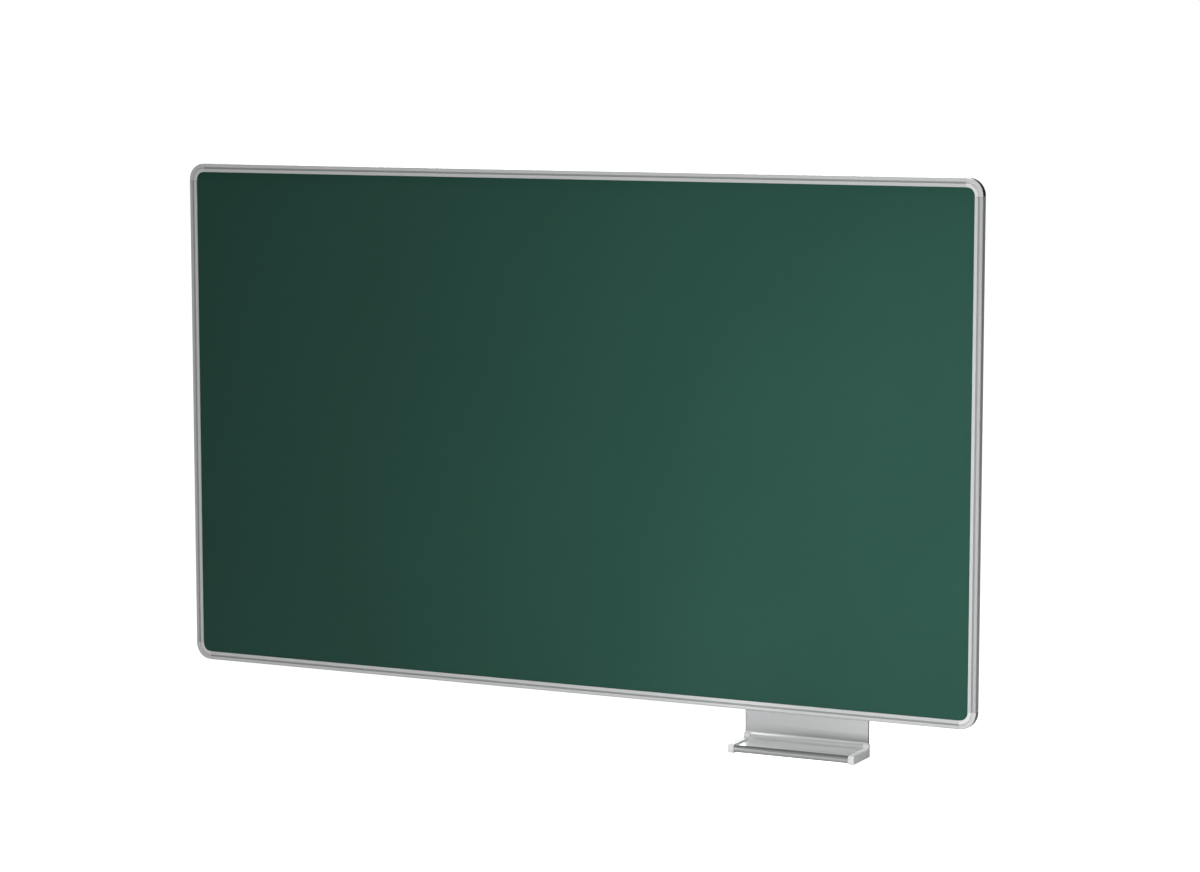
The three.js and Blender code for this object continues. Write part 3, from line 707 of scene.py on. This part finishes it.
def bracket_model():
    """The top bracket, with z = 0 at the edge of the frame."""
    half = BRACKET_WIDTH / 2
    outline = [
        (LEG_FRONT, LEG_END),
        (LEG_FRONT, SHELF_BOTTOM, *OUTER_BEND),
        (FOOT_FRONT, SHELF_BOTTOM, *INNER_BEND),
        (FOOT_FRONT, FOOT_END),
        (0.0, FOOT_END),
        (0.0, SHELF_TOP, *OUTER_BEND),
        (LEG_BACK, SHELF_TOP, *INNER_BEND),
        (LEG_BACK, LEG_END),
    ]
    model = outline_face("bracket_model", -half, outline)
    pull(x=BRACKET_WIDTH)

    def is_foot_corner(ends):
        return all(end.z < FOOT_END + 0.1 for end in ends) and abs(ends[0].x - ends[1].x) < 1

    pick(model, is_foot_corner, "EDGE")
    bpy.ops.mesh.bevel(offset=FOOT_CORNER * MM, segments=8, affect="EDGES")
    close_up()
    middle = (SHELF_BOTTOM + FOOT_END) / 2
    slot = add_rod(SLOT_RADIUS, SLOT_FRONT, SLOT_BACK, 0.0, middle, sides=48)
    bpy.ops.object.mode_set(mode="EDIT")
    for way in (-1, 1):
        pick(slot, lambda ends: (ends[0].z - middle) * way > HAIR)
        bpy.ops.transform.translate(value=(0.0, 0.0, way * SLOT_HALF_TRAVEL * MM))
    bpy.ops.object.mode_set(mode="OBJECT")
    work(model, slot, "DIFFERENCE")
    smooth(model, break_edges=0.2)
    return model


model = bracket_model()
for level, up, turn in (("top", 1, 0.0), ("bottom", -1, math.pi)):
    for side, right in (("left", -1), ("right", 1)):
        x, z = right * BRACKET_X, up * HALF_HEIGHT
        bracket = put_copy(model, f"hook_bracket_{level}_{side}", turn, x, 0.0, z)
        stand_for(bracket, f"wall_bracket_{level}_{side}", "board", zinc)
bpy.data.objects.remove(model)


# The chalk tray. It is one aluminium extrusion with a hollow nose in front and a hook along
# its top edge. The hook hangs on the flange of the bottom rail and slides along it.
TRAY_X, TRAY_Z = 596.0, -669.0
TRAY_PROFILE_LENGTH = 297.4
# Each point gives its y and its height above the tray's floor, and then its round, if it has one.
TRAY_SECTION = [
    (-3.6, 78.3, 0.5, 3),
    (-3.6, 0.0, 16.0, 20),
    (-84.3, 0.0, 0.8, 3),
    (-86.6, 2.0, 2.2, 6),
    (-97.1, 2.0, 8.2, 14),
    (-97.1, -14.4, 8.2, 14),
    (-83.9, -14.4, 0.4, 2),
    (-83.9, -11.9, 0.4, 2),
    (-94.6, -11.9, 5.7, 10),
    (-94.6, -0.5, 5.7, 10),
    (-88.9, -0.5),
    (-84.3, -2.5),
    (-1.1, -2.5, 12.5, 16),
    (-1.1, 80.5, 1.6, 5),
    (-7.4, 80.5, 1.2, 4),
    (-7.4, 73.0, 0.4, 2),
    (-5.8, 73.0, 0.4, 2),
    (-5.8, 78.3),
]


def painted_shade_tray_aluminium():
    """The tray's aluminium, with painted shade on the nose, darkest on its top as a painted dark
    reflection, and painted shade on the plate behind, more to the left and in a strip along its
    foot. The sawn ends are dark."""
    dark, light = (0.73, 0.745, 0.745), (0.79, 0.80, 0.80)
    name, rough = "tray_aluminium", (0.2, 0.26)
    material = anodised_aluminium(name, 0, dark, light, rough, metallic=0.5)
    tree = material.node_tree
    x, y, z = object_axes(tree)
    # Painted shade on the nose.
    nose = fall(tree, y, -86.0, -84.6)
    tone_down(material, nose, (0.64, 0.65, 0.65))
    # A painted dark reflection along the top of the nose.
    tone_down(material, product(tree, nose, rise(tree, z, TRAY_Z - 5, TRAY_Z)), (0.4, 0.41, 0.41))
    # Painted shade on the plate behind, deeper to the left.
    plate = rise(tree, z, TRAY_Z + 14, TRAY_Z + 18)
    tone_down(material, plate, (0.83, 0.835, 0.835))
    painted_shade_leftward = fall(tree, x, TRAY_X - 150, TRAY_X + 150)
    tone_down(material, product(tree, painted_shade_leftward, plate), (0.84, 0.845, 0.845))
    # Painted shade in a strip along the plate's foot, deeper to the right.
    foot = fall(tree, z, TRAY_Z + 18, TRAY_Z + 38)
    share = spread(tree, x, (0.3, 1.0), ((TRAY_X - 110) * MM, (TRAY_X + 30) * MM))
    tone_down(material, product(tree, foot, plate, share), (0.6, 0.605, 0.605))
    off_middle = arithmetic(tree, "SUBTRACT", x, TRAY_X * MM)
    off_middle = arithmetic(tree, "ABSOLUTE", off_middle)
    end = TRAY_PROFILE_LENGTH / 2
    tone_down(material, rise(tree, off_middle, end - 1.6, end - 1.2), (0.1, 0.1, 0.1))
    return material


model = outline_face("tray_extrusion", -TRAY_PROFILE_LENGTH / 2, TRAY_SECTION)
pull(x=TRAY_PROFILE_LENGTH)
close_up()
smooth(model)
profile = put_copy(model, "aluminium_tray", 0.0, TRAY_X, 0.0, TRAY_Z)
stand_for(profile, "tray_profile", "tray", painted_shade_tray_aluminium())
bpy.data.objects.remove(model)


# The tray's end caps. They are white plastic mouldings that follow the tray's nose and floor,
# with a tab up the back. A plug pushed into the hollow of the nose holds each one on.
CAP_OUTER = 151.0
CAP_WIDTH = 14.0
CAP_PLATE = 2.0
NOSE_Y, NOSE_Z = -88.9, -6.2
PLUG_RADIUS = 4.8
PLUG_START, PLUG_END = 1.0, 23.0
ROUNDED_EDGE = 1.2
CAP_SECTION = [
    (-1.1, -16.2),
    (-1.1, 14.0),
    (-8.5, 14.0, 2.0, 6),
    (-8.5, 3.8, 4.0, 8),
    (-98.9, 3.8, 6.0, 12),
    (-98.9, -16.2, 6.0, 12),
]
POCKET_SECTION = [
    (0.4, 20.0),
    (-3.9, 20.0),
    (-3.9, 0.3, 15.7, 18),
    (-84.0, 0.3),
    (-86.6, 2.3),
    (-97.4, 2.3, 8.5, 14),
    (-97.4, -14.7, 8.5, 14),
    (-3.0, -14.7),
    (-3.0, -2.8),
    (0.4, -2.8),
]


def add_plug():
    """The plug of the left cap, along X, with its inner end rounded."""
    bpy.ops.object.select_all(action="DESELECT")
    bpy.ops.mesh.primitive_cylinder_add(
        vertices=32,
        radius=PLUG_RADIUS * MM,
        depth=(PLUG_END - PLUG_START) * MM,
        location=Vector((-CAP_OUTER + (PLUG_START + PLUG_END) / 2, NOSE_Y, NOSE_Z)) * MM,
        rotation=(0.0, math.pi / 2, 0.0),
    )
    bpy.ops.object.transform_apply(location=True, rotation=True, scale=True)
    plug = bpy.context.object
    bpy.ops.object.mode_set(mode="EDIT")
    pick(plug, lambda ends: all(end.x > -CAP_OUTER + PLUG_END - 0.1 for end in ends), "EDGE")
    bpy.ops.mesh.bevel(offset=ROUNDED_EDGE * MM, segments=3, affect="EDGES")
    bpy.ops.object.mode_set(mode="OBJECT")
    return plug


def cap_model():
    """The left cap, about the middle of the tray."""
    model = outline_face("cap_model", -CAP_OUTER, CAP_SECTION)
    pull(x=CAP_WIDTH)
    pick(model, lambda ends: all(end.x < -CAP_OUTER + 0.1 for end in ends), "EDGE")
    bpy.ops.mesh.bevel(offset=ROUNDED_EDGE * MM, segments=5, affect="EDGES")
    close_up()
    pocket = outline_face("cap_pocket", -CAP_OUTER + CAP_PLATE, POCKET_SECTION)
    pull(x=CAP_WIDTH)
    close_up()
    work(model, pocket, "DIFFERENCE")
    work(model, add_plug(), "UNION")
    smooth(model, break_edges=0.15)
    return model


cap_plastic = moulded_plastic("cap_plastic", (0.69, 0.70, 0.70), (0.73, 0.74, 0.74), gloss=0.6)
model = cap_model()
left_cap = put_copy(model, "moulded_cap_left", 0.0, TRAY_X, 0.0, TRAY_Z)
take_up(model)
bpy.ops.object.mode_set(mode="EDIT")
bpy.ops.mesh.select_all(action="SELECT")
# The right cap is the left one's mirror image.
bpy.ops.transform.resize(value=(-1.0, 1.0, 1.0), center_override=(0.0, 0.0, 0.0))
close_up()
right_cap = put_copy(model, "moulded_cap_right", 0.0, TRAY_X, 0.0, TRAY_Z)
bpy.data.objects.remove(model)
for side, cap in (("left", left_cap), ("right", right_cap)):
    stand_for(cap, f"tray_cap_{side}", "tray", cap_plastic)


# The camera stands where the photograph was taken from: 26 degrees to the right of the board
# and 7 degrees above its middle.
IMAGE = (1200, 872)
SENSOR = 36.0
LENS_PIXELS = 3357.8
CENTRE_ROW = 470.0
CAMERA_TURN = math.radians(25.888)
CAMERA_RISE = math.radians(7.298)
# Where the middle of the writing face lies from the camera, in metres.
ACROSS, UP, AWAY = -0.08166, 0.08206, 7.6666
right = Vector((math.cos(CAMERA_TURN), math.sin(CAMERA_TURN), 0.0))
towards = Vector((right.y, -right.x, 0.0)) * math.cos(CAMERA_RISE)
towards.z = math.sin(CAMERA_RISE)
upward = towards.cross(right)
camera_data = bpy.data.cameras.new("camera")
camera_data.sensor_width = SENSOR
camera_data.lens = SENSOR * LENS_PIXELS / IMAGE[0]
camera_data.shift_y = (CENTRE_ROW - IMAGE[1] / 2) / IMAGE[0]
camera_data.clip_end = 200.0
camera = bpy.data.objects.new("camera", camera_data)
bpy.context.scene.collection.objects.link(camera)
stand = AWAY * towards - ACROSS * right - UP * upward + Vector((0.0, FRONT_Y * MM, 0.0))
facing = Matrix((right, upward, towards)).transposed().to_4x4()
camera.matrix_world = Matrix.Translation(stand) @ facing
bpy.context.scene.camera = camera


# The studio: a pale floor well below the board and six soft lamps: in front to the right, at
# the right, above and behind, over the tray, behind, and a small card at the tray's left. What
# is seen past the board is white. Mirror rays meet a plain room in place of the floor.
FLOOR_LEVEL = -1.4
FLOOR_SIZE = 60.0
AMBIENT, WHITE = 0.04, 1.0


def lamp(name, place, aim, size, power, mirrored):
    data = bpy.data.lights.new(name, "AREA")
    data.shape = "RECTANGLE"
    data.size, data.size_y = size
    data.energy = power
    holder = bpy.data.objects.new(name, data)
    bpy.context.scene.collection.objects.link(holder)
    holder.location = place
    holder.rotation_euler = (Vector(aim) - Vector(place)).to_track_quat("-Z", "Y").to_euler()
    holder.visible_camera = False
    holder.visible_glossy = mirrored


def floor_finish():
    """Pale and matt, and lit up to white where the camera sees it directly. Mirror rays pass
    through it to the world's room."""
    material, tree, shader = new_material("studio_floor")
    shader.inputs["Base Color"].default_value = (0.85, 0.85, 0.85, 1.0)
    shader.inputs["Roughness"].default_value = 0.9
    path = tree.nodes.new("ShaderNodeLightPath")
    glow = tree.nodes.new("ShaderNodeEmission")
    away = tree.nodes.new("ShaderNodeVectorMath")
    away.operation = "LENGTH"
    tree.links.new(object_point(tree), away.inputs[0])
    pale = spread(tree, away.outputs["Value"], (0.96, 1.0), (2.0, 5.0))
    tree.links.new(product(tree, pale, path.outputs["Is Camera Ray"]), glow.inputs["Strength"])
    lit = tree.nodes.new("ShaderNodeAddShader")
    tree.links.new(shader.outputs["BSDF"], lit.inputs[0])
    tree.links.new(glow.outputs["Emission"], lit.inputs[1])
    clear = tree.nodes.new("ShaderNodeBsdfTransparent")
    either = tree.nodes.new("ShaderNodeMixShader")
    tree.links.new(path.outputs["Is Glossy Ray"], either.inputs["Fac"])
    tree.links.new(lit.outputs["Shader"], either.inputs[1])
    tree.links.new(clear.outputs["BSDF"], either.inputs[2])
    tree.links.new(either.outputs["Shader"], tree.nodes["Material Output"].inputs["Surface"])
    return material


def mirrored_room(tree):
    """How bright each way out looks to a mirror ray. The room is brightest at the front left, a
    little below level, and has a grey ceiling. A white backdrop stands at the back left, and
    the ground at the back is dark grey."""
    way = tree.nodes.new("ShaderNodeSeparateXYZ")
    tree.links.new(tree.nodes.new("ShaderNodeTexCoord").outputs["Generated"], way.inputs["Vector"])

    def look(axis, results, span):
        return spread(tree, way.outputs[axis], results, span)

    room = product(
        tree,
        look("Z", (0.4, 1.0), (-0.55, -0.25)),
        look("Z", (1.0, 0.18), (0.02, 0.2)),
        look("Y", (0.82, 0.1), (-0.3, 0.2)),
        look("X", (1.0, 0.12), (-0.15, 0.2)),
    )
    backdrop = product(
        tree,
        look("Y", (0.0, 0.85), (-0.2, 0.15)),
        look("Z", (0.0, 1.0), (-0.02, 0.1)),
        look("X", (1.0, 0.0), (-0.42, -0.22)),
    )
    overhead = look("Z", (0.0, 0.4), (0.4, 0.7))
    ground = product(tree, look("Y", (0.0, 0.25), (0.2, 0.6)), look("Z", (1.0, 0.0), (-0.2, 0.0)))
    bright = arithmetic(tree, "ADD", room, backdrop)
    for other in (overhead, ground):
        bright = arithmetic(tree, "MAXIMUM", bright, other)
    return bright


def mix_levels(tree, factor, first, second):
    """The first value where the factor is 0 and the second where it is 1."""
    mixed = tree.nodes.new("ShaderNodeMix")
    tree.links.new(factor, mixed.inputs["Factor"])
    for value, socket in ((first, mixed.inputs["A"]), (second, mixed.inputs["B"])):
        if isinstance(value, float):
            socket.default_value = value
        else:
            tree.links.new(value, socket)
    return mixed.outputs["Result"]


for name, place, aim, size, power, mirrored in (
    ("key", (1.15, -1.8, -0.12), (0.55, 0.0, -0.1), (1.1, 1.1), 30.0, False),
    ("side", (2.4, -0.4, 0.1), (1.0, 0.0, 0.0), (1.6, 1.6), 1.5, False),
    ("top", (-0.1, 0.8, 2.3), (0.0, 0.0, 0.4), (3.0, 1.2), 28.0, True),
    ("ceiling", (0.4, -0.35, 4.5), (0.4, -0.2, 0.0), (2.5, 0.6), 120.0, False),
    ("back", (-1.4, 3.2, 0.6), (0.0, 0.0, 0.0), (2.5, 2.0), 45.0, True),
    ("card", (0.273, -0.453, -0.564), (0.49, -0.012, -0.657), (0.1, 0.2), 0.13, True),
):
    lamp(name, place, aim, size, power, mirrored)

bpy.ops.object.select_all(action="DESELECT")
bpy.ops.mesh.primitive_plane_add(size=FLOOR_SIZE, location=(0.0, 0.0, FLOOR_LEVEL))
floor = bpy.context.object
floor.name = "studio_floor"
floor.data.materials.append(floor_finish())

world = bpy.data.worlds.new("studio")
bpy.context.scene.world = world
world.use_nodes = True
tree = world.node_tree
ray = tree.nodes.new("ShaderNodeLightPath").outputs
straight = arithmetic(tree, "MAXIMUM", ray["Is Camera Ray"], ray["Is Transmission Ray"])
level = mix_levels(tree, ray["Is Glossy Ray"], AMBIENT, mirrored_room(tree))
level = mix_levels(tree, straight, level, WHITE)
background = tree.nodes["Background"]
background.inputs["Color"].default_value = (1.0, 1.0, 1.0, 1.0)
tree.links.new(level, background.inputs["Strength"])

bpy.context.scene.view_settings.view_transform = "Standard"
